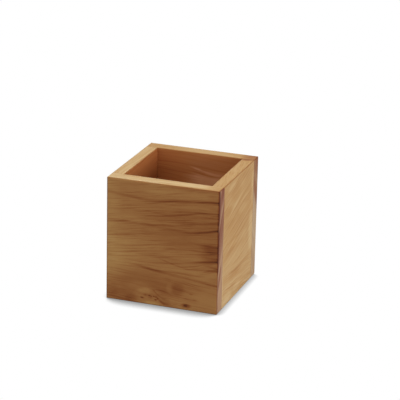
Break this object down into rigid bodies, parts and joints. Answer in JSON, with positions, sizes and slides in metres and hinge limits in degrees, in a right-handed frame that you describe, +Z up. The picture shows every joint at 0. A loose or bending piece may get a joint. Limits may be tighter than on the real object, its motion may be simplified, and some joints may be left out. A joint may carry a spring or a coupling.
{
  "type": "pen cup",
  "caption": "Open square-sided teak cup for pens and pencils, with butt-jointed walls on hidden dowels and a base panel held in a groove.",
  "frame": {"origin": "middle of the footprint, at table height", "axes": "+Z up, +X to the right seen from the front, and the front of the cup facing -Y"},
  "size_m": [0.095, 0.098, 0.104],
  "materials": {
    "front_teak": "oiled teak, satin",
    "back_teak": "oiled teak, satin",
    "left_teak": "oiled teak, satin",
    "right_teak": "oiled teak, satin",
    "base_teak": "oiled teak, satin",
    "dowel_beech": "raw beech"
  },
  "bodies": {
    "root": {"front_board": "front_teak", "back_board": "back_teak", "left_board": "left_teak", "right_board": "right_teak", "base_panel": "base_teak", "front_left_dowels": "dowel_beech", "front_right_dowels": "dowel_beech", "back_left_dowels": "dowel_beech", "back_right_dowels": "dowel_beech"}
  },
  "joints": []
}
